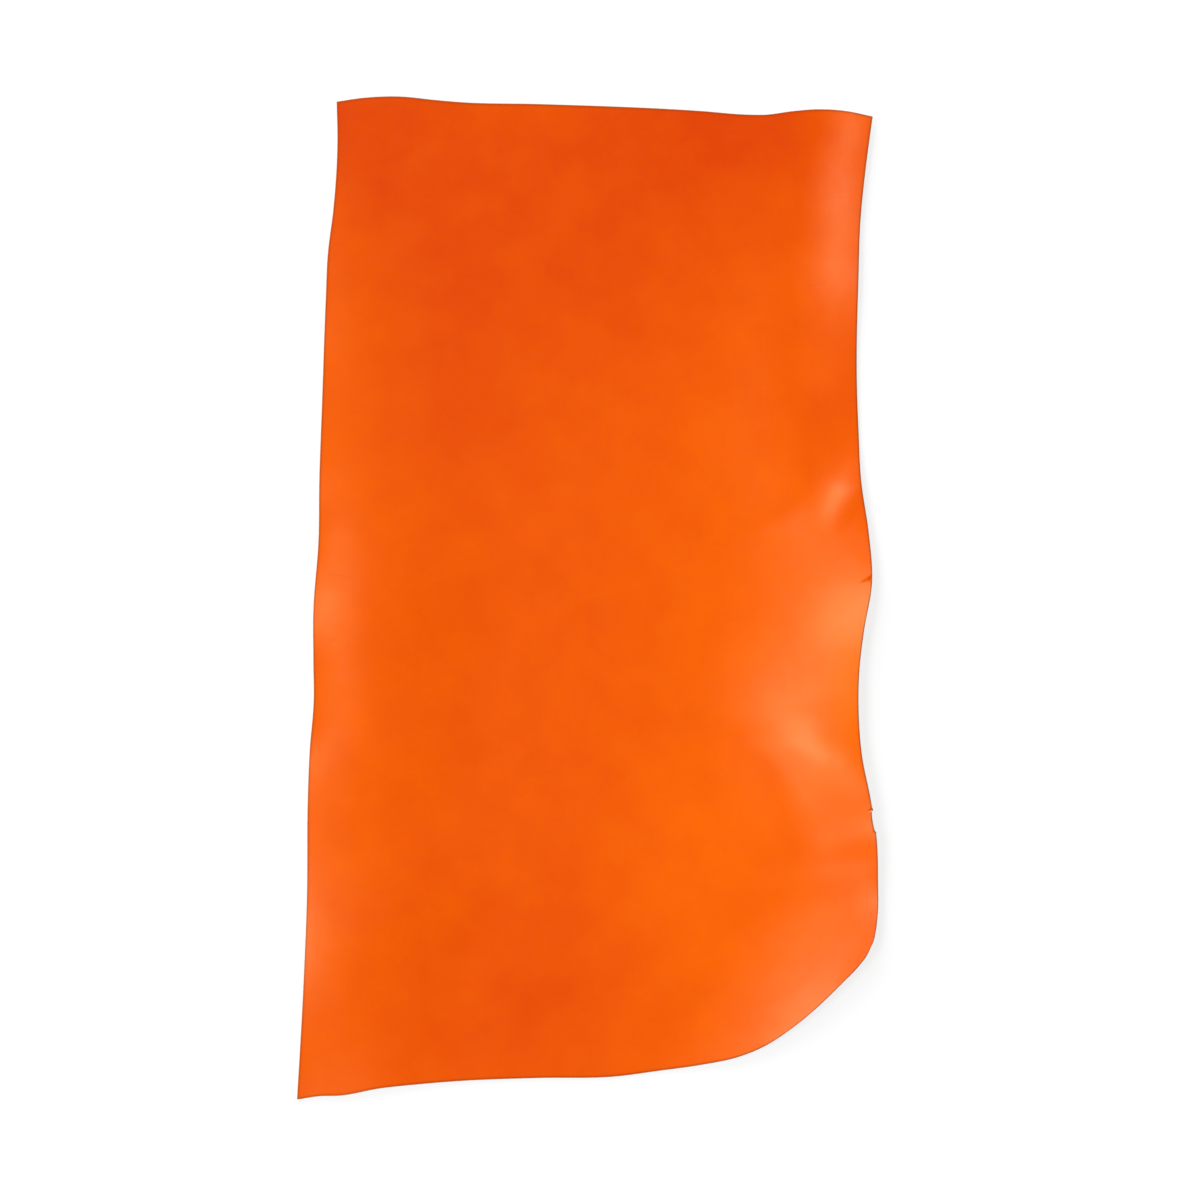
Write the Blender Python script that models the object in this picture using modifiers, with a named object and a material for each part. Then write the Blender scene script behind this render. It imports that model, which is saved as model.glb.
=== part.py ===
"""A dyed, vegetable-tanned half hide, laid grain side up on a flat surface.

The hide is one sheet of leather, so the model is one solid. It starts as a grid. The grid is
stretched over the outline of the hide, lifted where the edges curl and swell, and given its
thickness. A shallow bite is then cut in the belly edge, where the hide was once clamped to dry.

The flesh side of the flat middle lies at Z = 0, the head end is at +Y and the belly edge at +X.
The origin is below the middle of the hide's box.
"""

import math
from collections import namedtuple

import bpy
import numpy as np

MM = 0.001

# Driving sizes, in millimetres.
THICKNESS = 2.0
HEAD_BACKBONE_CORNER = (-327.5, 645.0)
HEAD_BELLY_CORNER = (369.0, 625.0)
TAIL_BACKBONE_CORNER = (-379.0, -652.0)
TAIL_BELLY_CORNER = (366.0, -454.0)

# The grid. Its lines stand closer together near the edges, where the hide is least flat.
COLUMNS = 38
ROWS = 62
COLUMN_CROWDING = 0.55
ROW_CROWDING = 0.35
BELLY_EDGE_STEPS = 401

# How far an edge stands out from the straight line between its two corners, in millimetres.
# The share runs from the tail to the head, or from the backbone to the belly.
Bow = namedtuple("Bow", "share out")

BACKBONE_BOWS = (
    Bow(0.00, 0.0),
    Bow(0.12, -2.5),
    Bow(0.20, -2.5),
    Bow(0.30, 1.5),
    Bow(0.35, 1.5),
    Bow(0.40, -1.0),
    Bow(0.44, 1.5),
    Bow(0.49, 4.0),
    Bow(0.56, 1.0),
    Bow(0.62, 3.0),
    Bow(0.70, 3.5),
    Bow(0.80, 4.0),
    Bow(0.85, 3.5),
    Bow(0.89, -1.0),
    Bow(0.96, -3.0),
    Bow(1.00, 0.0),
)
BELLY_BOWS = (
    Bow(0.00, 0.0),
    Bow(0.04, 9.0),
    Bow(0.08, 9.5),
    Bow(0.13, 7.5),
    Bow(0.18, -1.0),
    Bow(0.23, -12.0),
    Bow(0.28, -16.5),
    Bow(0.33, -16.0),
    Bow(0.38, -10.0),
    Bow(0.44, 0.5),
    Bow(0.50, -4.0),
    Bow(0.56, -13.5),
    Bow(0.62, -17.0),
    Bow(0.68, -19.5),
    Bow(0.80, -18.0),
    Bow(0.88, -15.0),
    Bow(0.94, -8.5),
    Bow(0.98, -3.0),
    Bow(1.00, 0.0),
)
HEAD_BOWS = (
    Bow(0.00, 0.0),
    Bow(0.05, 6.0),
    Bow(0.12, 9.0),
    Bow(0.18, 6.0),
    Bow(0.23, 4.0),
    Bow(0.38, 4.5),
    Bow(0.68, 1.5),
    Bow(0.77, -1.5),
    Bow(0.80, -1.0),
    Bow(0.85, 4.5),
    Bow(0.90, 8.0),
    Bow(0.95, 6.5),
    Bow(1.00, 0.0),
)
TAIL_BOWS = (
    Bow(0.00, 0.0),
    Bow(0.04, 3.5),
    Bow(0.07, 9.0),
    Bow(0.14, 13.5),
    Bow(0.21, 22.0),
    Bow(0.27, 30.5),
    Bow(0.40, 53.0),
    Bow(0.53, 77.5),
    Bow(0.60, 84.5),
    Bow(0.67, 91.0),
    Bow(0.74, 93.5),
    Bow(0.78, 89.5),
    Bow(0.85, 71.0),
    Bow(0.94, 33.5),
    Bow(0.98, 14.0),
    Bow(1.00, 0.0),
)

# The backbone edge turns down, so a low swell runs along it. Coming in from the edge, in
# millimetres, the swell is highest at the crest and leaves the ground at the foot. It meets the
# ground at the edge with the slope, in degrees.
Swell = namedtuple("Swell", "share foot crest height slope")

BACKBONE_SWELLS = (
    Swell(0.00, 200, 96, 1.4, 0.0),
    Swell(0.04, 220, 94, 1.9, 0.3),
    Swell(0.07, 230, 84, 2.6, 2.4),
    Swell(0.10, 230, 68, 3.4, 4.2),
    Swell(0.13, 230, 66, 4.0, 6.0),
    Swell(0.16, 250, 86, 4.8, 6.4),
    Swell(0.19, 250, 92, 4.6, 6.0),
    Swell(0.22, 240, 76, 3.6, 4.9),
    Swell(0.25, 220, 62, 2.3, 3.8),
    Swell(0.28, 220, 62, 2.4, 3.0),
    Swell(0.31, 230, 68, 3.4, 4.3),
    Swell(0.34, 240, 74, 4.0, 4.9),
    Swell(0.37, 240, 72, 3.2, 0.6),
    Swell(0.40, 240, 72, 3.2, 0.0),
    Swell(0.43, 250, 76, 3.9, 0.0),
    Swell(0.46, 260, 76, 5.2, 3.8),
    Swell(0.49, 270, 76, 5.5, 5.4),
    Swell(0.52, 260, 76, 4.5, 3.8),
    Swell(0.55, 240, 68, 3.3, 1.6),
    Swell(0.58, 220, 60, 2.2, 1.0),
    Swell(0.61, 200, 56, 1.8, 3.0),
    Swell(0.64, 160, 50, 0.5, 0.9),
    Swell(0.70, 130, 36, 0.3, 0.4),
    Swell(0.73, 130, 50, 0.6, 0.0),
    Swell(0.76, 120, 44, 1.1, 2.6),
    Swell(0.80, 100, 30, 0.7, 1.4),
    Swell(0.85, 80, 24, 0.3, 0.5),
    Swell(1.00, 80, 24, 0.2, 0.2),
)

# The other edges turn up. The sheet leaves its level at the foot, in millimetres from the edge,
# and at the edge it has risen by the height and still climbs with the slope, in degrees.
Rise = namedtuple("Rise", "share foot height slope")

# Along the belly edge the share is the level between the two belly corners, straight across the
# hide. It is below 0 past the tail corner.
BELLY_RISES = (
    Rise(-0.20, 300, 31.0, 8.5),
    Rise(-0.14, 285, 29.2, 8.0),
    Rise(-0.11, 252, 26.8, 8.0),
    Rise(-0.08, 237, 25.2, 7.5),
    Rise(-0.05, 221, 23.2, 7.0),
    Rise(-0.02, 206, 20.3, 6.8),
    Rise(0.01, 192, 17.9, 7.0),
    Rise(0.04, 160, 13.6, 8.0),
    Rise(0.07, 125, 10.4, 11.0),
    Rise(0.10, 114, 14.6, 14.0),
    Rise(0.13, 106, 17.4, 13.0),
    Rise(0.16, 114, 18.2, 11.0),
    Rise(0.19, 114, 16.9, 7.5),
    Rise(0.22, 124, 15.8, 3.4),
    Rise(0.25, 156, 16.1, 2.0),
    Rise(0.28, 203, 19.9, 4.0),
    Rise(0.31, 210, 21.6, 5.5),
    Rise(0.34, 206, 21.3, 6.0),
    Rise(0.37, 201, 20.8, 7.0),
    Rise(0.40, 199, 20.2, 7.8),
    Rise(0.43, 199, 19.4, 7.8),
    Rise(0.46, 198, 17.8, 6.6),
    Rise(0.49, 186, 15.0, 4.8),
    Rise(0.52, 120, 9.0, 1.8),
    Rise(0.55, 75, 7.5, 4.0),
    Rise(0.58, 66, 3.9, 5.5),
    Rise(0.61, 60, 0.5, 1.5),
    Rise(0.64, 60, 1.0, 1.0),
    Rise(0.67, 80, 2.4, 0.5),
    Rise(0.70, 82, 3.0, 1.0),
    Rise(0.73, 80, 3.9, 2.5),
    Rise(0.76, 80, 6.0, 5.5),
    Rise(0.79, 88, 8.4, 6.8),
    Rise(0.82, 88, 9.4, 6.8),
    Rise(0.85, 80, 8.2, 6.3),
    Rise(0.91, 73, 7.7, 6.4),
    Rise(0.97, 62, 5.9, 5.0),
    Rise(1.00, 62, 5.4, 5.0),
)
HEAD_RISES = (
    Rise(0.00, 60, 1.5, 2.0),
    Rise(0.15, 60, 3.0, 4.0),
    Rise(0.35, 40, 1.5, 3.0),
    Rise(0.70, 40, 1.5, 3.0),
    Rise(1.00, 50, 2.0, 3.0),
)
TAIL_RISES = (
    Rise(0.00, 60, 1.5, 2.0),
    Rise(0.12, 70, 3.5, 4.0),
    Rise(0.30, 60, 2.0, 3.0),
    Rise(0.50, 60, 1.2, 2.0),
    Rise(0.70, 60, 1.2, 2.0),
    Rise(1.00, 50, 0.0, 0.0),
)

# Where the belly edge turns up in two steps, the sheet first climbs a bank. It leaves the ground
# at the foot and is level again at the top, in millimetres from the edge.
Bank = namedtuple("Bank", "share foot top height")

BELLY_BANKS = (
    Bank(0.00, 180, 40, 0.0),
    Bank(0.04, 182, 40, 2.0),
    Bank(0.07, 190, 40, 4.4),
    Bank(0.10, 190, 40, 3.9),
    Bank(0.13, 215, 40, 5.2),
    Bank(0.16, 215, 40, 6.1),
    Bank(0.19, 206, 40, 8.0),
    Bank(0.22, 206, 40, 8.3),
    Bank(0.25, 205, 40, 6.5),
    Bank(0.28, 205, 40, 2.0),
    Bank(0.31, 200, 40, 0.0),
    Bank(0.46, 190, 60, 0.0),
    Bank(0.49, 190, 65, 0.4),
    Bank(0.52, 190, 70, 3.6),
    Bank(0.55, 180, 75, 4.3),
    Bank(0.58, 205, 75, 4.2),
    Bank(0.61, 205, 80, 3.8),
    Bank(0.64, 195, 80, 3.2),
    Bank(0.67, 180, 90, 2.5),
    Bank(0.73, 185, 90, 1.6),
    Bank(0.79, 170, 90, 1.0),
    Bank(0.85, 150, 90, 0.2),
    Bank(0.91, 200, 60, 0.1),
    Bank(0.94, 200, 60, 0.9),
    Bank(1.00, 220, 60, 2.3),
)

# Soft folds inside the sheet, in millimetres: the ends of each crest line, its height, and how
# far it slopes down on its backbone side and on its belly side.
Fold = namedtuple("Fold", "start end height backbone_side belly_side")

FOLDS = (
    Fold((314.0, 98.0), (360.0, 146.0), 1.3, 32.0, 24.0),
)

# A round, shallow bite in the belly edge, where the hide was once clamped to dry. The share runs
# along the edge. The depth and the length are in millimetres.
BITE_SHARE = 0.153
BITE_DEPTH = 2.5
BITE_LENGTH = 29.0
CUTTER_HEIGHT = 120.0
CUTTER_CORNERS = 96

LEATHER_ORANGE = (0.89, 0.10, 0.004, 1.0)
LEATHER_ROUGHNESS = 0.45
SHARP_EDGE_ANGLE = math.radians(40)


def ease(share):
    """Goes smoothly from 0 to 1, level at both ends."""
    share = np.clip(share, 0.0, 1.0)
    return share * share * (3.0 - 2.0 * share)


def smooth_column(rows, column, share):
    """Reads one column of a table at each share, along a smooth curve through its rows.

    The curve is a cubic between each two rows, and its slope at a row is the slope between
    that row's two neighbours. Past the first and the last row it keeps their values.
    """
    shares = np.array([row.share for row in rows])
    values = np.array([getattr(row, column) for row in rows], float)
    share = np.clip(share, shares[0], shares[-1])
    slopes = np.gradient(values, shares)
    after = np.clip(np.searchsorted(shares, share, side="right"), 1, len(rows) - 1)
    before = after - 1
    step = shares[after] - shares[before]
    t = (share - shares[before]) / step
    return (
        (1 + 2 * t) * (1 - t) ** 2 * values[before]
        + t * (1 - t) ** 2 * step * slopes[before]
        + t * t * (3 - 2 * t) * values[after]
        + t * t * (t - 1) * step * slopes[after]
    )


def climb(share, height, turn):
    """The cubic that is level at 0 and ends at the height, where its slope is the turn."""
    share = np.clip(share, 0.0, 1.0)
    return height * share**2 * (3 - 2 * share) + turn * share**2 * (share - 1)


def edge_curve(start, end, bows, outward_side, share):
    """Points of one edge of the outline, bowed out from the straight line between its corners."""
    start, end = np.array(start), np.array(end)
    along = end - start
    outward = outward_side * np.array([-along[1], along[0]]) / np.hypot(*along)
    out = smooth_column(bows, "out", share)
    return start + share[..., None] * along + out[..., None] * outward


def belly_edge(share):
    """Points of the belly edge, from the tail to the head."""
    return edge_curve(TAIL_BELLY_CORNER, HEAD_BELLY_CORNER, BELLY_BOWS, -1, share)


def outline_edges(u, v):
    """The four edges of the outline, at the shares u across the hide and v along it."""
    return (
        edge_curve(TAIL_BACKBONE_CORNER, HEAD_BACKBONE_CORNER, BACKBONE_BOWS, 1, v),
        belly_edge(v),
        edge_curve(TAIL_BACKBONE_CORNER, TAIL_BELLY_CORNER, TAIL_BOWS, -1, u),
        edge_curve(HEAD_BACKBONE_CORNER, HEAD_BELLY_CORNER, HEAD_BOWS, 1, u),
    )


def plan_points(u, v):
    """Stretches the unit square over the outline, so that its sides lie on the four edges."""
    backbone, belly, tail, head = outline_edges(u, v)
    across, along = u[..., None], v[..., None]
    corners = (
        (1 - across) * (1 - along) * np.array(TAIL_BACKBONE_CORNER)
        + across * (1 - along) * np.array(TAIL_BELLY_CORNER)
        + (1 - across) * along * np.array(HEAD_BACKBONE_CORNER)
        + across * along * np.array(HEAD_BELLY_CORNER)
    )
    between_sides = (1 - across) * backbone + across * belly
    between_ends = (1 - along) * tail + along * head
    return between_sides + between_ends - corners


def from_belly(points):
    """The level of plan points between the belly corners, and their inset from the belly edge."""
    edge = belly_edge(np.linspace(0.0, 1.0, BELLY_EDGE_STEPS))
    low, high = TAIL_BELLY_CORNER[1], HEAD_BELLY_CORNER[1]
    level = (points[:, 1] - low) / (high - low)
    return level, np.interp(points[:, 1], edge[:, 1], edge[:, 0]) - points[:, 0]


def swell_height(swells, share, inset):
    """Height that an edge adds where it turns down, at a share of its length and an inset."""
    foot, crest, height, slope = (
        smooth_column(swells, column, share) for column in Swell._fields[1:]
    )
    drop = climb((crest - inset) / crest, height, crest * np.tan(np.radians(slope)))
    return height * ease((foot - inset) / (foot - crest)) - drop


def rise_height(rises, share, inset):
    """Height that an edge adds where it turns up, at a share of its length and an inset."""
    foot, height, slope = (smooth_column(rises, column, share) for column in Rise._fields[1:])
    return climb((foot - inset) / foot, height, foot * np.tan(np.radians(slope)))


def bank_height(banks, share, inset):
    """Height that a bank along an edge adds, at a share of its length and an inset."""
    foot, top, height = (smooth_column(banks, column, share) for column in Bank._fields[1:])
    return height * ease((foot - inset) / (foot - top))


def fold_height(fold, points):
    """Height of one soft fold: a crest line that falls away to its sides and past its ends."""
    start, end = np.array(fold.start), np.array(fold.end)
    length = np.hypot(*(end - start))
    along = (end - start) / length
    towards_belly = np.array([along[1], -along[0]]) * np.sign(along[1])
    offset = points - (start + end) / 2
    side = offset @ towards_belly
    run = np.abs(offset @ along) / (length / 2)
    width = np.where(side < 0, fold.backbone_side, fold.belly_side)
    return fold.height * (1 - ease(np.abs(side) / width)) * (1 - ease(run - 0.4))


def relief(u, v, points):
    """Height of the flesh side above the ground, at the shares u and v and their plan points."""
    backbone, belly, tail, head = outline_edges(u, v)
    width = np.linalg.norm(belly - backbone, axis=-1)
    length = np.linalg.norm(head - tail, axis=-1)
    level, inset = from_belly(points)
    height = (
        swell_height(BACKBONE_SWELLS, v, u * width)
        + rise_height(BELLY_RISES, level, inset)
        + bank_height(BELLY_BANKS, level, inset)
        + rise_height(TAIL_RISES, u, v * length)
        + rise_height(HEAD_RISES, u, (1 - v) * length)
    )
    for fold in FOLDS:
        height = height + fold_height(fold, points)
    return np.maximum(height, 0.0)


def crowded(share, crowding):
    """Moves evenly spaced shares towards both ends of their run."""
    return share - crowding * np.sin(2 * math.pi * share) / (2 * math.pi)


def clear_scene():
    """Removes the objects that are there at the start."""
    for thing in list(bpy.data.objects):
        bpy.data.objects.remove(thing, do_unlink=True)


def new_collection(name):
    """Adds a collection to the scene."""
    collection = bpy.data.collections.new(name)
    bpy.context.scene.collection.children.link(collection)
    return collection


def move_to(collection, thing):
    """Takes an object out of its collections and puts it in this one."""
    for other in list(thing.users_collection):
        other.objects.unlink(thing)
    collection.objects.link(thing)


def make_sheet():
    """The flesh side of the hide: a grid on the outline, raised by the relief."""
    bpy.ops.mesh.primitive_grid_add(x_subdivisions=COLUMNS, y_subdivisions=ROWS, size=2)
    sheet = bpy.context.object
    flat = np.empty(len(sheet.data.vertices) * 3)
    sheet.data.vertices.foreach_get("co", flat)
    square = (flat.reshape(-1, 3)[:, :2] + 1) / 2
    u = crowded(square[:, 0], COLUMN_CROWDING)
    v = crowded(square[:, 1], ROW_CROWDING)
    points = plan_points(u, v)
    places = np.column_stack([points, relief(u, v, points)]) * MM
    sheet.data.vertices.foreach_set("co", places.ravel())
    sheet.data.update()
    return sheet


def make_bite_cutter():
    """An upright cylinder that reaches into the belly edge by the depth of the bite."""
    radius = (BITE_LENGTH**2 / 4 + BITE_DEPTH**2) / (2 * BITE_DEPTH)
    half = BITE_LENGTH / 2 / (HEAD_BELLY_CORNER[1] - TAIL_BELLY_CORNER[1])
    ends = belly_edge(np.array([BITE_SHARE - half, BITE_SHARE + half]))
    along = ends[1] - ends[0]
    outward = np.array([along[1], -along[0]]) / np.hypot(*along)
    x, y = ends.mean(axis=0) + outward * (radius - BITE_DEPTH)
    bpy.ops.mesh.primitive_cylinder_add(
        vertices=CUTTER_CORNERS,
        radius=radius * MM,
        depth=CUTTER_HEIGHT * MM,
        location=(x * MM, y * MM, 0.0),
    )
    cutter = bpy.context.object
    cutter.name = "bite_cutter"
    cutter.hide_render = True
    cutter.display_type = "WIRE"
    return cutter


def leather_material():
    """Smooth dyed leather with a soft shine."""
    material = bpy.data.materials.new("dyed_leather")
    material.use_nodes = True
    shader = material.node_tree.nodes["Principled BSDF"]
    shader.inputs["Base Color"].default_value = LEATHER_ORANGE
    shader.inputs["Roughness"].default_value = LEATHER_ROUGHNESS
    shader.inputs["Metallic"].default_value = 0.0
    return material


def with_modifiers_applied(thing):
    """Puts the object's evaluated mesh in its own place and drops its modifiers."""
    graph = bpy.context.evaluated_depsgraph_get()
    mesh = bpy.data.meshes.new_from_object(thing.evaluated_get(graph))
    thing.modifiers.clear()
    thing.data = mesh


def centre_on_origin(thing):
    """Moves the mesh so that the origin is below the middle of its box."""
    flat = np.empty(len(thing.data.vertices) * 3)
    thing.data.vertices.foreach_get("co", flat)
    places = flat.reshape(-1, 3)
    middle = (places.min(axis=0) + places.max(axis=0)) / 2
    middle[2] = places[:, 2].min()
    thing.data.vertices.foreach_set("co", (places - middle).ravel())
    thing.data.update()


def make_hide(collection, cutters):
    """The whole hide: the sheet with its thickness and its bite."""
    hide = make_sheet()
    hide.name = "hide"
    move_to(collection, hide)

    wall = hide.modifiers.new("thickness", "SOLIDIFY")
    wall.thickness = THICKNESS * MM
    wall.offset = 1.0

    cutter = make_bite_cutter()
    move_to(cutters, cutter)
    bite = hide.modifiers.new("bite", "BOOLEAN")
    bite.operation = "DIFFERENCE"
    bite.solver = "EXACT"
    bite.object = cutter

    with_modifiers_applied(hide)
    centre_on_origin(hide)
    hide.data.materials.clear()
    hide.data.materials.append(leather_material())
    hide.data.shade_smooth()
    hide.data.set_sharp_from_angle(angle=SHARP_EDGE_ANGLE)
    return hide


def main():
    """Builds the hide in an empty scene."""
    clear_scene()
    hide_collection = new_collection("leather_hide")
    cutter_collection = new_collection("cutters")
    make_hide(hide_collection, cutter_collection)


main()
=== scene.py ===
"""The looks of a dyed, vegetable-tanned half hide, laid grain side up on a pale floor.

The hide is one sheet of leather with three surfaces: the smooth, waxed grain side on top, the
napped flesh side below, and the raw cut edge between them. All three are worked out as arrays
over one grid, which is stretched over the hide's outline and raised by its swells and folds.

Plan sizes are in millimetres from the middle of the photographed sheet, with the head end at +Y
and the belly edge at +X. The finished mesh is in metres and stands where the frame's hide stands.
"""

import logging
import math
from dataclasses import dataclass, field
from enum import Enum, IntEnum

import bpy
import numpy as np
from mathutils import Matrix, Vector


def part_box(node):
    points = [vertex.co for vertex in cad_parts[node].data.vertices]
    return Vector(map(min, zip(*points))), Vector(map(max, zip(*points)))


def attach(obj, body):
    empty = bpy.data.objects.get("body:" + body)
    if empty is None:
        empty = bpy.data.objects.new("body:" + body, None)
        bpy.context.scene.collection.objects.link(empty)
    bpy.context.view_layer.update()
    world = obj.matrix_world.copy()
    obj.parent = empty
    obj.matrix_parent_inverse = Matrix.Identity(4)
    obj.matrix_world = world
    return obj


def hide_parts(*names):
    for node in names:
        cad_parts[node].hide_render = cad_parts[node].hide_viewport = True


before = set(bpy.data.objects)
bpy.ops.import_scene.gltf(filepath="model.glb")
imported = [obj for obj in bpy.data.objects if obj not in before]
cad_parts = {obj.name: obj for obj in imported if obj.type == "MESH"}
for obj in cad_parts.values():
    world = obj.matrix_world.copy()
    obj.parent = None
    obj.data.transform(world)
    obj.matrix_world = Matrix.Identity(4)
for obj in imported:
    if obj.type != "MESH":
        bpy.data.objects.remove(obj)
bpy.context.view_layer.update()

log = logging.getLogger("leather_hide")

MM = 0.001
NODE = "hide"

# How finely an edge is read as a line, and how finely the density of mesh lines is summed.
EDGE_STEPS = 401
DENSITY_STEPS = 8001


# ---- Shapes shared by the outline and the relief ----


class Edge(Enum):
    """The four edges of the hide, as a tanner names them."""

    BACKBONE = "backbone"
    BELLY = "belly"
    TAIL = "tail"
    HEAD = "head"


class Surface(IntEnum):
    """The three surfaces of the leather, numbered as the piece's material slots."""

    GRAIN = 0
    FLESH = 1
    CUT = 2


@dataclass(frozen=True)
class Bow:
    """How far an edge stands out, in mm, from the straight line between its corners."""

    share: float
    out: float


@dataclass(frozen=True)
class Rise:
    """A cut across an edge that turns up, in mm from the edge, with the slope in degrees.

    The sheet leaves its level at the foot, and at the edge it has risen by the height and still
    climbs with the slope.
    """

    share: float
    foot: float
    height: float
    slope: float


@dataclass(frozen=True)
class Bank:
    """A cut across a soft step along an edge, in mm from the edge.

    The sheet leaves the ground at the foot and is level again at the top, higher by the height.
    """

    share: float
    foot: float
    top: float
    height: float


@dataclass(frozen=True)
class Swell:
    """A cut across an edge that turns down, in mm from the edge, with the slope in degrees.

    The sheet leaves the ground at the foot, is highest at the crest, and comes down to the
    ground again at the edge, which it meets with the slope.
    """

    share: float
    foot: float
    crest: float
    height: float
    slope: float


@dataclass(frozen=True)
class Fold:
    """A soft fold inside the sheet: its crest line and how it falls away, in mm."""

    start: tuple[float, float]
    end: tuple[float, float]
    height: float
    backbone_side: float
    belly_side: float


@dataclass(frozen=True)
class Crease:
    """A short, narrow crease in the grain side: its line, depth and width in mm.

    It is painted dark, as the shade that falls in the crease, by a share of the full crease shade
    colour.
    """

    start: tuple[float, float]
    end: tuple[float, float]
    depth: float
    width: float
    dark: float


@dataclass(frozen=True)
class Bite:
    """A shallow gap in the belly edge, in mm. One with a depth below zero stands out."""

    share: float
    depth: float
    width: float


def ease(share: np.ndarray) -> np.ndarray:
    """Goes from 0 to 1 as 3s^2 - 2s^3, level at both ends.

    Args:
        share: any numbers, held to the run from 0 to 1.

    Returns:
        The eased numbers.
    """
    share = np.clip(share, 0.0, 1.0)
    return share * share * (3.0 - 2.0 * share)


def smooth_column(rows: tuple, column: str, share: np.ndarray) -> np.ndarray:
    """Reads one column of a table at each share, along a smooth curve through its rows.

    Between two rows it is the cubic whose slope at each row is the slope between that row's
    neighbours.

    Args:
        rows: the table, in order of share.
        column: the name of the value to read.
        share: where to read it, held to the run of the table.

    Returns:
        One value for each share.
    """
    shares = np.array([row.share for row in rows])
    values = np.array([getattr(row, column) for row in rows], float)
    share = np.clip(share, shares[0], shares[-1])
    slopes = np.gradient(values, shares)
    after = np.clip(np.searchsorted(shares, share, side="right"), 1, len(rows) - 1)
    before = after - 1
    step = shares[after] - shares[before]
    t = (share - shares[before]) / step
    return (
        (1 + 2 * t) * (1 - t) ** 2 * values[before]
        + t * (1 - t) ** 2 * step * slopes[before]
        + t * t * (3 - 2 * t) * values[after]
        + t * t * (t - 1) * step * slopes[after]
    )


def rows_of(kind: type, *rows: tuple) -> tuple:
    """Makes a table of one kind of row."""
    return tuple(kind(*row) for row in rows)


def climb(share: np.ndarray, height: np.ndarray, turn: np.ndarray) -> np.ndarray:
    """The cubic that starts level at 0 and ends at the height: h(3s^2 - 2s^3) + t(s^3 - s^2).

    Args:
        share: how far up the climb, held to the run from 0 to 1.
        height: the height at the end.
        turn: the slope at the end times the length of the climb.

    Returns:
        The height at each share.
    """
    share = np.clip(share, 0.0, 1.0)
    return height * share ** 2 * (3 - 2 * share) + turn * share ** 2 * (share - 1)


def along_line(start: tuple, end: tuple, points: np.ndarray) -> tuple[np.ndarray, np.ndarray]:
    """Measures points against a line in plan.

    Args:
        start: one end of the line.
        end: its other end.
        points: plan points in mm.

    Returns:
        How far each point is to the belly side of the line, in mm, and how far it is along
        the line from its middle, where 1 is the line's end.
    """
    start, end = np.array(start), np.array(end)
    half = (end - start) / 2
    reach = np.hypot(*half)
    direction = half / reach
    belly_side = np.array([direction[1], -direction[0]])
    belly_side = belly_side * (1.0 if belly_side[0] >= 0 else -1.0)
    offset = points - (start + end) / 2
    return offset @ belly_side, np.abs(offset @ direction) / reach


# ---- The outline ----


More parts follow.
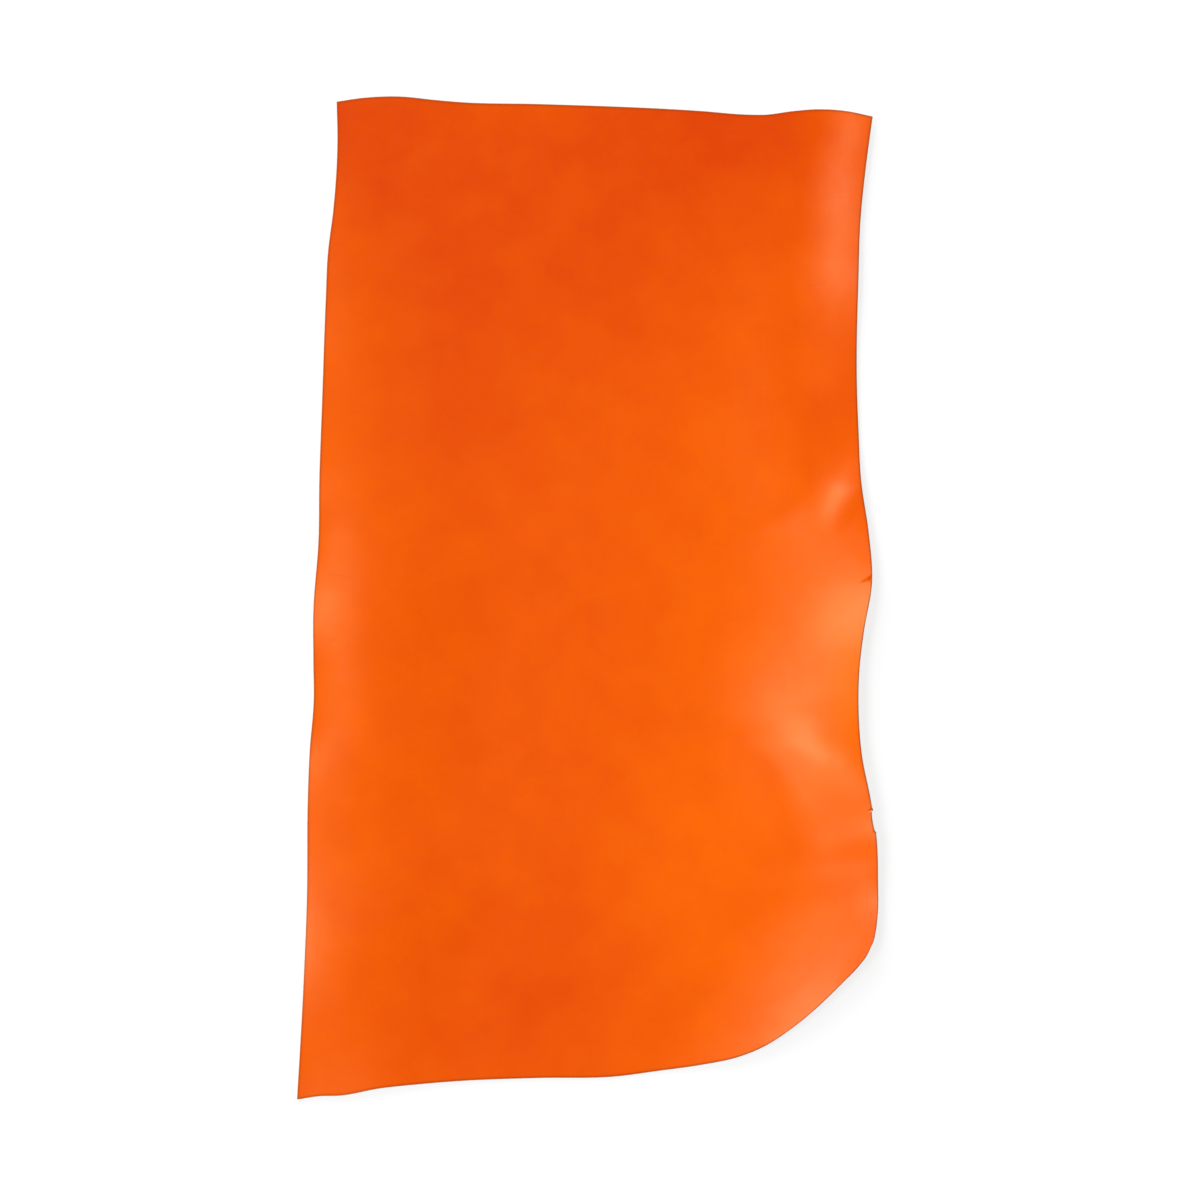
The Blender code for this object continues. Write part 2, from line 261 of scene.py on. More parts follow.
@dataclass(frozen=True)
class Outline:
    """The plan of the hide: four corners joined by four bowed edges, in mm.

    The hide was clamped by its belly edge to dry, which left a shallow bite there with a small
    tip at each end. The bite reach is how far into the sheet a bite still pulls it in.
    """

    head_backbone: tuple[float, float] = (-327.5, 645.0)
    head_belly: tuple[float, float] = (369.0, 625.0)
    tail_backbone: tuple[float, float] = (-379.0, -652.0)
    tail_belly: tuple[float, float] = (366.0, -454.0)
    backbone_bows: tuple[Bow, ...] = rows_of(
        Bow,
        (0.00, 0.0), (0.12, -2.5), (0.20, -2.5), (0.30, 1.5), (0.35, 1.5), (0.40, -1.0),
        (0.44, 1.5), (0.49, 4.0), (0.56, 1.0), (0.62, 3.0), (0.70, 3.5), (0.80, 4.0),
        (0.85, 3.5), (0.89, -1.0), (0.96, -3.0), (1.00, 0.0),
    )
    belly_bows: tuple[Bow, ...] = rows_of(
        Bow,
        (0.00, 0.0), (0.01, 4.4), (0.02, 6.6), (0.04, 9.2), (0.08, 9.5), (0.13, 7.5),
        (0.18, -1.0), (0.23, -12.0), (0.28, -16.5), (0.33, -16.0), (0.38, -10.0), (0.44, 0.5),
        (0.50, -4.0), (0.56, -13.5), (0.62, -17.0), (0.68, -19.5), (0.80, -18.0),
        (0.88, -15.0), (0.94, -8.5), (0.98, -3.0), (1.00, 0.0),
    )
    tail_bows: tuple[Bow, ...] = rows_of(
        Bow,
        (0.00, 0.0), (0.04, 3.5), (0.07, 9.0), (0.14, 13.5), (0.21, 22.0), (0.27, 30.5),
        (0.40, 53.0), (0.53, 77.5), (0.60, 84.5), (0.67, 91.0), (0.74, 93.5), (0.78, 89.5),
        (0.85, 71.0), (0.94, 34.3), (0.975, 17.8), (0.99, 8.6), (1.00, 0.0),
    )
    head_bows: tuple[Bow, ...] = rows_of(
        Bow,
        (0.00, 0.0), (0.05, 6.0), (0.12, 9.0), (0.18, 6.0), (0.23, 4.0), (0.38, 4.5),
        (0.68, 1.5), (0.77, -1.5), (0.80, -1.0), (0.85, 4.5), (0.90, 8.0), (0.95, 6.5),
        (1.00, 0.0),
    )
    bites: tuple[Bite, ...] = rows_of(
        Bite,
        (0.153, 2.3, 29.0), (0.167, -0.5, 3.5), (0.139, -0.3, 3.0),
    )
    bite_reach: float = 60.0

    def edge(self, edge: Edge, share: np.ndarray) -> np.ndarray:
        """Points of one edge: the line between its corners plus its bow at right angles.

        Args:
            edge: which edge.
            share: how far along it, from the tail to the head or from backbone to belly.

        Returns:
            Plan points in mm, one for each share.
        """
        start, end, bows, outward_side = {
            Edge.BACKBONE: (self.tail_backbone, self.head_backbone, self.backbone_bows, 1),
            Edge.BELLY: (self.tail_belly, self.head_belly, self.belly_bows, -1),
            Edge.TAIL: (self.tail_backbone, self.tail_belly, self.tail_bows, -1),
            Edge.HEAD: (self.head_backbone, self.head_belly, self.head_bows, 1),
        }[edge]
        start, end = np.array(start), np.array(end)
        along = end - start
        outward = outward_side * np.array([-along[1], along[0]]) / np.hypot(*along)
        out = smooth_column(bows, "out", share)
        return start + share[..., None] * along + out[..., None] * outward

    def stretch(self, u: np.ndarray, v: np.ndarray) -> np.ndarray:
        """Stretches the unit square over the outline, so that its sides lie on the edges.

        It is the blend between the two long edges, plus the blend between the two ends, less
        the blend between the four corners, which the first two both hold.

        Args:
            u: shares from the backbone to the belly.
            v: shares from the tail to the head.

        Returns:
            Plan points in mm.
        """
        across, along = u[..., None], v[..., None]
        corners = (
            (1 - across) * (1 - along) * np.array(self.tail_backbone)
            + across * (1 - along) * np.array(self.tail_belly)
            + (1 - across) * along * np.array(self.head_backbone)
            + across * along * np.array(self.head_belly)
        )
        backbone, belly = self.edge(Edge.BACKBONE, v), self.edge(Edge.BELLY, v)
        tail, head = self.edge(Edge.TAIL, u), self.edge(Edge.HEAD, u)
        between_sides = (1 - across) * backbone + across * belly
        between_ends = (1 - along) * tail + along * head
        return between_sides + between_ends - corners

    def bitten(self, u: np.ndarray, v: np.ndarray) -> np.ndarray:
        """Moves plan points in where the belly edge has a bite, fading out inside the sheet.

        The bite is as deep as the square root of 1 - (2s / w)^2, with s along the edge.

        Args:
            u: shares from the backbone to the belly.
            v: shares from the tail to the head.

        Returns:
            Plan shifts in mm.
        """
        edge = np.array(self.head_belly) - np.array(self.tail_belly)
        length = np.hypot(*edge)
        inward = np.array([-edge[1], edge[0]]) / length
        inset = (1 - u) * self.width(v)
        depth = np.zeros_like(u)
        for bite in self.bites:
            across = 2 * (v - bite.share) * length / bite.width
            depth += bite.depth * np.sqrt(np.clip(1 - across ** 2, 0.0, 1.0))
        fade = np.clip(1 - inset / self.bite_reach, 0.0, 1.0) ** 2
        return (depth * fade)[..., None] * inward

    def from_belly(self, points: np.ndarray) -> tuple[np.ndarray, np.ndarray]:
        """Measures plan points against the belly edge, straight across the hide.

        Args:
            points: plan points in mm.

        Returns:
            The share of the belly edge's length that each point is level with, below 0 past
            the tail corner, and how far in the point is from the edge there, in mm.
        """
        edge = self.edge(Edge.BELLY, np.linspace(0.0, 1.0, EDGE_STEPS))
        x, y = points[..., 0], points[..., 1]
        level = (y - self.tail_belly[1]) / (self.head_belly[1] - self.tail_belly[1])
        return level, np.interp(y, edge[:, 1], edge[:, 0]) - x

    def row_through(self, x: float, y: float) -> float:
        """About which share of the length a plan point is at, between the two straight ends."""
        across = (x - self.tail_backbone[0]) / (self.tail_belly[0] - self.tail_backbone[0])
        tail = self.tail_backbone[1] + across * (self.tail_belly[1] - self.tail_backbone[1])
        head = self.head_backbone[1] + across * (self.head_belly[1] - self.head_backbone[1])
        return (y - tail) / (head - tail)

    def width(self, v: np.ndarray) -> np.ndarray:
        """Distance from backbone edge to belly edge at each share of the length, in mm."""
        return np.linalg.norm(self.edge(Edge.BELLY, v) - self.edge(Edge.BACKBONE, v), axis=-1)

    def length(self, u: np.ndarray) -> np.ndarray:
        """Distance from tail end to head end at each share of the width, in mm."""
        return np.linalg.norm(self.edge(Edge.HEAD, u) - self.edge(Edge.TAIL, u), axis=-1)


# ---- The relief ----


@dataclass(frozen=True)
class Relief:
    """How high the flesh side stands off the ground, as the sum of edge swells and folds.

    The backbone edge turns down, so a low swell runs along it. The belly edge turns up in two
    steps: a bank some way in, and an upturn close to the edge. The two ends turn up a little.

    Cuts across the belly edge run straight across the hide. Their share is the level that they
    are at, which is 0 at the tail corner and below 0 past it. All other cuts follow the mesh.

    A fold keeps its height over the full share of its half length, and has run out one half
    length further on. A crease does the same with its own full share and fade.
    """

    backbone: tuple[Swell, ...] = rows_of(
        Swell,
        (0.00, 200, 96, 1.4, 0.0), (0.04, 220, 94, 1.9, 0.3), (0.07, 230, 84, 2.6, 2.4),
        (0.10, 230, 68, 3.4, 4.2), (0.13, 230, 66, 4.0, 6.0), (0.16, 250, 86, 4.8, 6.4),
        (0.19, 250, 92, 4.6, 6.0), (0.22, 240, 76, 3.6, 4.9), (0.25, 220, 62, 2.3, 3.8),
        (0.28, 220, 62, 2.4, 3.0), (0.31, 230, 68, 3.4, 4.3), (0.34, 240, 74, 4.0, 4.9),
        (0.37, 240, 72, 3.2, 0.6), (0.40, 240, 72, 3.2, 0.0), (0.43, 250, 76, 3.9, 0.0),
        (0.46, 260, 76, 5.2, 3.8), (0.49, 270, 76, 5.5, 5.4), (0.52, 260, 76, 4.5, 3.8),
        (0.55, 240, 68, 3.3, 1.6), (0.58, 220, 60, 2.2, 1.0), (0.61, 200, 56, 1.8, 3.0),
        (0.64, 160, 50, 0.5, 0.9), (0.70, 130, 36, 0.3, 0.4), (0.73, 130, 50, 0.6, 0.0),
        (0.76, 120, 44, 1.1, 2.6), (0.80, 100, 30, 0.7, 1.4), (0.85, 80, 24, 0.3, 0.5),
        (1.00, 80, 24, 0.2, 0.2),
    )
    belly_upturn: tuple[Rise, ...] = rows_of(
        Rise,
        (-0.20, 300, 31.0, 8.5), (-0.14, 285, 29.2, 8.0), (-0.11, 252, 26.8, 8.0),
        (-0.08, 237, 25.2, 7.5), (-0.05, 221, 23.2, 7.0), (-0.02, 206, 20.3, 6.8),
        (0.01, 192, 17.9, 7.0), (0.04, 160, 13.6, 8.0), (0.07, 125, 10.6, 10.0),
        (0.10, 114, 14.6, 14.0), (0.13, 106, 17.4, 13.0), (0.16, 114, 18.2, 11.0),
        (0.19, 114, 17.5, 7.8), (0.22, 124, 16.4, 3.6), (0.25, 156, 16.1, 2.0),
        (0.28, 203, 19.9, 4.0), (0.31, 210, 21.6, 5.5), (0.34, 206, 21.3, 6.0),
        (0.37, 201, 21.2, 8.0), (0.40, 199, 20.8, 9.0), (0.43, 199, 19.9, 8.8),
        (0.46, 198, 17.8, 6.6), (0.49, 186, 15.0, 4.8), (0.52, 120, 9.0, 1.8),
        (0.55, 75, 7.5, 4.0), (0.58, 66, 3.9, 5.5), (0.61, 60, 0.5, 1.5), (0.64, 60, 1.0, 1.0),
        (0.67, 80, 2.4, 0.5), (0.70, 82, 3.0, 1.0), (0.73, 80, 3.9, 2.5), (0.76, 80, 6.0, 5.5),
        (0.79, 88, 8.4, 6.8), (0.82, 88, 9.4, 6.8), (0.85, 80, 8.2, 6.3), (0.91, 83, 8.6, 5.4),
        (0.97, 74, 6.8, 4.2), (1.00, 70, 6.2, 3.8),
    )
    belly_bank: tuple[Bank, ...] = rows_of(
        Bank,
        (0.00, 180, 40, 0.0), (0.04, 182, 40, 2.0), (0.07, 190, 40, 4.4), (0.10, 190, 40, 3.9),
        (0.13, 215, 40, 5.2), (0.16, 215, 40, 6.1), (0.19, 206, 40, 8.0), (0.22, 206, 40, 8.3),
        (0.25, 205, 40, 6.5), (0.28, 205, 40, 2.0), (0.31, 200, 40, 0.0), (0.46, 190, 60, 0.0),
        (0.49, 190, 65, 0.4), (0.52, 190, 70, 3.6), (0.55, 180, 75, 4.3), (0.58, 205, 75, 4.2),
        (0.61, 205, 80, 3.8), (0.64, 195, 80, 3.2), (0.67, 180, 90, 2.5), (0.73, 185, 90, 1.6),
        (0.79, 170, 90, 1.0), (0.85, 150, 90, 0.2), (0.91, 200, 60, 0.1), (0.94, 200, 60, 0.9),
        (1.00, 220, 60, 2.3),
    )
    head: tuple[Rise, ...] = rows_of(
        Rise,
        (0.00, 60, 1.5, 2.0), (0.15, 60, 3.0, 4.0), (0.35, 40, 1.5, 3.0), (0.70, 40, 1.5, 3.0),
        (1.00, 50, 2.0, 3.0),
    )
    tail: tuple[Rise, ...] = rows_of(
        Rise,
        (0.00, 60, 1.5, 2.0), (0.12, 70, 3.5, 4.0), (0.30, 60, 2.0, 3.0), (0.50, 60, 1.2, 2.0),
        (0.70, 60, 1.2, 2.0), (1.00, 50, 0.0, 0.0),
    )
    folds: tuple[Fold, ...] = rows_of(
        Fold,
        ((315, 96), (365, 168), 1.0, 33.0, 24.0),
    )
    # The last column is painted shade: how dark each crease is drawn, as shade falls in it.
    creases: tuple[Crease, ...] = rows_of(
        Crease,
        ((375, 29), (354.5, 20.5), 0.5, 4.5, 0.35),
        ((376, 30), (362.0, 23.5), 1.0, 8.5, 0.5),
        ((375, -274), (363, -275), 0.4, 4.0, 0.9),
        ((379.0, -303.2), (368.0, -302.4), 0.2, 3.6, 0.9),
        ((-337, 32), (-300, 26), 0.1, 6.0, 0.08),
        ((-337, -21), (-320.0, -21.5), 0.08, 5.0, 0.06),
        ((-337, -55), (-318, -57), 0.1, 5.0, 0.08),
        ((312, 524), (338, 520), 0.1, 5.0, 0.06),
        ((284, 404), (314, 408), 0.1, 5.0, 0.06),
    )
    fold_full: float = 0.4
    crease_full: float = 0.5
    crease_fade: float = 0.6

    def rise(self, rises: tuple[Rise, ...], share: np.ndarray, inset: np.ndarray) -> np.ndarray:
        """Height that an edge adds where it turns up.

        Args:
            rises: the cuts across the edge.
            share: how far along it.
            inset: how far in from it, in mm.

        Returns:
            Heights in mm.
        """
        foot, height, slope = (
            smooth_column(rises, name, share) for name in ("foot", "height", "slope")
        )
        return climb((foot - inset) / foot, height, foot * np.tan(np.radians(slope)))

    def bank(self, banks: tuple[Bank, ...], share: np.ndarray, inset: np.ndarray) -> np.ndarray:
        """Height that an edge adds with a soft step: the height, eased from the foot to the top.

        Args:
            banks: the cuts across the step.
            share: how far along the edge.
            inset: how far in from it, in mm.

        Returns:
            Heights in mm.
        """
        foot, top, height = (
            smooth_column(banks, name, share) for name in ("foot", "top", "height")
        )
        return height * ease((foot - inset) / (foot - top))

    def swell(self, swells: tuple[Swell, ...], share: np.ndarray, inset: np.ndarray) -> np.ndarray:
        """Height that an edge adds where it turns down: the bank up to the crest, less the drop.

        Args:
            swells: the cuts across the edge.
            share: how far along it.
            inset: how far in from it, in mm.

        Returns:
            Heights in mm.
        """
        foot, crest, height, slope = (
            smooth_column(swells, name, share) for name in ("foot", "crest", "height", "slope")
        )
        bank = height * ease((foot - inset) / (foot - crest))
        drop = climb((crest - inset) / crest, height, crest * np.tan(np.radians(slope)))
        return bank - drop

    def fold(self, fold: Fold, points: np.ndarray) -> np.ndarray:
        """Height of one soft fold: eased to its sides, and past its ends.

        Args:
            fold: the fold.
            points: plan points in mm.

        Returns:
            Heights in mm.
        """
        side, run = along_line(fold.start, fold.end, points)
        width = np.where(side < 0, fold.backbone_side, fold.belly_side)
        across, along = 1 - ease(np.abs(side) / width), 1 - ease(run - self.fold_full)
        return fold.height * across * along

    def height(
        self, outline: Outline, u: np.ndarray, v: np.ndarray, points: np.ndarray
    ) -> np.ndarray:
        """Height of the flesh side above the ground: the sum of all swells and folds.

        Args:
            outline: the plan that the relief stands on.
            u: shares from the backbone to the belly.
            v: shares from the tail to the head.
            points: the plan points at those shares, in mm.

        Returns:
            Heights in mm, none below the ground.
        """
        width, length = outline.width(v), outline.length(u)
        level, inset = outline.from_belly(points)
        height = (
            self.swell(self.backbone, v, u * width)
            + self.rise(self.belly_upturn, level, inset)
            + self.bank(self.belly_bank, level, inset)
            + self.rise(self.tail, u, v * length)
            + self.rise(self.head, u, (1 - v) * length)
        )
        for fold in self.folds:
            height = height + self.fold(fold, points)
        return np.maximum(height, 0.0)

    def creased(self, points: np.ndarray) -> tuple[np.ndarray, np.ndarray]:
        """Measures the fine creases: eased to their sides, and past their ends.

        Args:
            points: plan points in mm.

        Returns:
            The depth of the creases in mm, and how dark the painted shade is in them, from 0 to 1.
        """
        depth, dark = np.zeros(points.shape[:-1]), np.zeros(points.shape[:-1])
        for crease in self.creases:
            side, run = along_line(crease.start, crease.end, points)
            across = 1 - ease(np.abs(side) / (crease.width / 2))
            near = across * (1 - ease((run - self.crease_full) / self.crease_fade))
            depth = np.maximum(depth, crease.depth * near)
            dark = np.maximum(dark, crease.dark * near)
        return depth, dark


# ---- Finishes ----

DYE_AND_LIGHT = "dye_and_light_depth"
# Painted shade in the creases, and the cut's dark rim line, which is partly pooled dye.
SHADE_AND_RIM_DYE = "painted_shade_and_rim_dye"

# The Mix node's sockets for colours, which share their names with its other sockets.
FIRST, SECOND, MIXED = 6, 7, 2


def linear(colour: str) -> tuple[float, float, float, float]:
    """Turns an sRGB hex colour into linear light.

    Args:
        colour: such as "#D6500A".

    Returns:
        Red, green, blue and an alpha of 1.
    """
    parts = (int(colour[place:place + 2], 16) / 255 for place in (1, 3, 5))
    values = (c / 12.92 if c <= 0.04045 else ((c + 0.055) / 1.055) ** 2.4 for c in parts)
    return (*values, 1.0)


def per_metre(size_mm: float) -> float:
    """The texture scale that gives a pattern with features of this size in millimetres."""
    return 1.0 / (size_mm * MM)


def wire(tree: bpy.types.NodeTree, node: bpy.types.Node, settings: dict, links: dict) -> None:
    """Sets and links one shader node.

    Args:
        tree: the node tree.
        node: the node.
        settings: values by name, for the node's properties or else its input sockets.
        links: output sockets by the name or number of the input that each feeds.
    """
    for name, value in settings.items():
        if isinstance(name, str) and hasattr(node, name):
            setattr(node, name, value)
        else:
            node.inputs[name].default_value = value
    for name, output in links.items():
        tree.links.new(output, node.inputs[name])


def add_node(tree: bpy.types.NodeTree, kind: str, settings: dict, links: dict) -> bpy.types.Node:
    """Adds one shader node of a kind, sets it and links it as wire does, and returns it."""
    node = tree.nodes.new(kind)
    wire(tree, node, settings, links)
    return node


def new_material(name: str) -> tuple[bpy.types.Material, bpy.types.NodeTree, bpy.types.Node]:
    """Makes a node material.

    Args:
        name: what the material is called.

    Returns:
        The material, its node tree and its Principled shader.
    """
    material = bpy.data.materials.new(name)
    material.use_nodes = True
    return material, material.node_tree, material.node_tree.nodes["Principled BSDF"]


@dataclass(frozen=True)
class GrainFinish:
    """Full-grain, vegetable-tanned cattle leather, drum-dyed with aniline and lightly waxed.

    The dye sinks in unevenly, so the colour drifts softly over the hide. The wax gives a wide,
    warm sheen, and the fine pebble of the grain breaks it up. The gains are how much of the way
    from the light to the deep dye the clouds and flecks can take the colour.
    """

    light_dye: str = "#F96D03"
    deep_dye: str = "#D43F02"
    # Painted shade for the creases and the cut's rim line, the rim line partly pooled dye.
    crease_shade_and_rim_dye: str = "#963400"
    wax_tint: str = "#FFF9BC"
    roughness: float = 0.22
    roughness_spread: float = 0.02
    ior: float = 1.5
    cloud_mm: float = 62.0
    cloud_gain: float = 0.34
    fleck_mm: float = 14.0
    fleck_gain: float = 0.15
    # The real grain's pebbles are about 0.8 mm wide, which is too fine to show from above.
    pebble_mm: float = 3.0
    pebble_depth_mm: float = 0.02

    def material(self) -> bpy.types.Material:
        """Builds the grain side's material from Object coordinates and the stored dye depth."""
        material, tree, shader = new_material("aniline_dyed_waxed_grain")
        place = add_node(tree, "ShaderNodeTexCoord", {}, {}).outputs["Object"]
        # The stored depths hold the dye, painted light in its paler patches, and painted shade.
        dye, dark = (
            add_node(tree, "ShaderNodeAttribute", {"attribute_name": name}, {}).outputs["Fac"]
            for name in (DYE_AND_LIGHT, SHADE_AND_RIM_DYE)
        )
        cloud, fleck = (
            add_node(
                tree, "ShaderNodeTexNoise",
                {"Scale": per_metre(size), "Detail": 4.0, "Roughness": roughness},
                {"Vector": place},
            ).outputs["Fac"]
            for size, roughness in ((self.cloud_mm, 0.5), (self.fleck_mm, 0.7))
        )
        drift, speckle = (
            add_node(
                tree, "ShaderNodeMath", {"operation": "MULTIPLY_ADD", 1: gain, 2: -gain / 2},
                {0: noise},
            ).outputs[0]
            for noise, gain in ((cloud, self.cloud_gain), (fleck, self.fleck_gain))
        )
        drift = add_node(
            tree, "ShaderNodeMath", {"operation": "ADD"}, {0: drift, 1: speckle}
        ).outputs[0]
        depth = add_node(
            tree, "ShaderNodeMath", {"operation": "ADD", "use_clamp": True}, {0: dye, 1: drift}
        ).outputs[0]
        dyed = add_node(
            tree, "ShaderNodeMix",
            {"data_type": "RGBA", FIRST: linear(self.light_dye), SECOND: linear(self.deep_dye)},
            {"Factor": depth},
        ).outputs[MIXED]
        # Paints shade into the creases, and the dark rim line, which is partly pooled dye.
        colour = add_node(
            tree, "ShaderNodeMix",
            {"data_type": "RGBA", SECOND: linear(self.crease_shade_and_rim_dye)},
            {"Factor": dark, FIRST: dyed},
        ).outputs[MIXED]
        pebble = add_node(
            tree, "ShaderNodeTexVoronoi",
            {"feature": "SMOOTH_F1", "Scale": per_metre(self.pebble_mm), "Smoothness": 0.8},
            {"Vector": place},
        ).outputs["Distance"]
        bump = add_node(
            tree, "ShaderNodeBump",
            {"invert": True, "Strength": 1.0, "Distance": self.pebble_depth_mm * MM},
            {"Height": pebble},
        ).outputs["Normal"]
        rough = add_node(
            tree, "ShaderNodeMapRange",
            {
                "From Min": 0.3,
                "From Max": 0.7,
                "To Min": self.roughness - self.roughness_spread,
                "To Max": self.roughness + self.roughness_spread,
            },
            {"Value": fleck},
        ).outputs["Result"]
        wire(
            tree, shader,
            {"IOR": self.ior, "Specular Tint": linear(self.wax_tint)},
            {"Base Color": colour, "Roughness": rough, "Normal": bump},
        )
        return material


@dataclass(frozen=True)
class FleshFinish:
    """The flesh side of vegetable-tanned leather: shaved flat, with a short fibrous nap.

    The dye takes paler and duller there, and the loose fibres leave no shine. The mottle is the
    tufts plus a share of the clouds.
    """

    pale_nap: str = "#D88A52"
    deep_nap: str = "#B9622F"
    roughness: float = 0.95
    sheen: float = 0.35
    sheen_roughness: float = 0.6
    cloud_mm: float = 45.0
    cloud_share: float = 0.55
    # Single fibres are about 0.1 mm thick. They are drawn as tufts, wide enough to show.
    tuft_mm: float = 3.5
    tuft_depth_mm: float = 0.5

    def material(self) -> bpy.types.Material:
        """Builds the flesh side's material from Object coordinates."""
        material, tree, shader = new_material("shaved_flesh_side_nap")
        place = add_node(tree, "ShaderNodeTexCoord", {}, {}).outputs["Object"]
        cloud = add_node(
            tree, "ShaderNodeTexNoise",
            {"Scale": per_metre(self.cloud_mm), "Detail": 3.0, "Roughness": 0.6, "Distortion": 0.6},
            {"Vector": place},
        ).outputs["Fac"]
        tuft = add_node(
            tree, "ShaderNodeTexNoise",
            {"Scale": per_metre(self.tuft_mm), "Detail": 5.0, "Roughness": 0.7, "Distortion": 1.2},
            {"Vector": place},
        ).outputs["Fac"]
        mottle = add_node(
            tree, "ShaderNodeMath",
            {"operation": "MULTIPLY_ADD", 1: self.cloud_share},
            {0: cloud, 2: tuft},
        ).outputs[0]
        depth = add_node(
            tree, "ShaderNodeMapRange", {"From Min": 0.45, "From Max": 1.1}, {"Value": mottle}
        ).outputs["Result"]
        colour = add_node(
            tree, "ShaderNodeMix",
            {"data_type": "RGBA", FIRST: linear(self.pale_nap), SECOND: linear(self.deep_nap)},
            {"Factor": depth},
        ).outputs[MIXED]
        bump = add_node(
            tree, "ShaderNodeBump",
            {"Strength": 0.8, "Distance": self.tuft_depth_mm * MM},
            {"Height": tuft},
        ).outputs["Normal"]
        wire(
            tree, shader,
            {
                "Roughness": self.roughness,
                "Sheen Weight": self.sheen,
                "Sheen Roughness": self.sheen_roughness,
                "Sheen Tint": linear(self.pale_nap),
            },
            {"Base Color": colour, "Normal": bump},
        )
        return material


@dataclass(frozen=True)
class CutFinish:
    """The raw edge left by the round knife: packed fibres, rubbed dark and dry.

    The dye has burnt it brown, and short fibres give it fine, uneven stripes.
    """

    brown: str = "#A34E1B"
    tan: str = "#CC783E"
    roughness: float = 0.8
    gloss: float = 0.2
    fibre_mm: float = 1.4
    fibre_depth_mm: float = 0.15

    def material(self) -> bpy.types.Material:
        """Builds the cut edge's material from Object coordinates."""
        material, tree, shader = new_material("knife_cut_leather_edge")
        place = add_node(tree, "ShaderNodeTexCoord", {}, {}).outputs["Object"]
        fibre = add_node(
            tree, "ShaderNodeTexNoise",
            {"Scale": per_metre(self.fibre_mm), "Detail": 4.0, "Roughness": 0.7, "Distortion": 0.8},
            {"Vector": place},
        ).outputs["Fac"]
        share = add_node(
            tree, "ShaderNodeMapRange", {"From Min": 0.35, "From Max": 0.65}, {"Value": fibre}
        ).outputs["Result"]
        colour = add_node(
            tree, "ShaderNodeMix",
            {"data_type": "RGBA", FIRST: linear(self.brown), SECOND: linear(self.tan)},
            {"Factor": share},
        ).outputs[MIXED]
        bump = add_node(
            tree, "ShaderNodeBump",
            {"Strength": 0.7, "Distance": self.fibre_depth_mm * MM},
            {"Height": fibre},
        ).outputs["Normal"]
        wire(
            tree, shader,
            {"Roughness": self.roughness, "Specular IOR Level": self.gloss},
            {"Base Color": colour, "Normal": bump},
        )
        return material


# ---- The hide ----


@dataclass(frozen=True)
class DyeAndLightPatch:
    """A soft patch, in mm: a deeper one is dye sunk in deeper, a paler one is partly painted light.
    """

    middle: tuple[float, float]
    reach: tuple[float, float]
    depth: float


@dataclass(frozen=True)
class Crowd:
    """A place where the sheet's mesh lines stand closer: its share, reach and extra density."""

    share: float
    reach: float
    extra: float


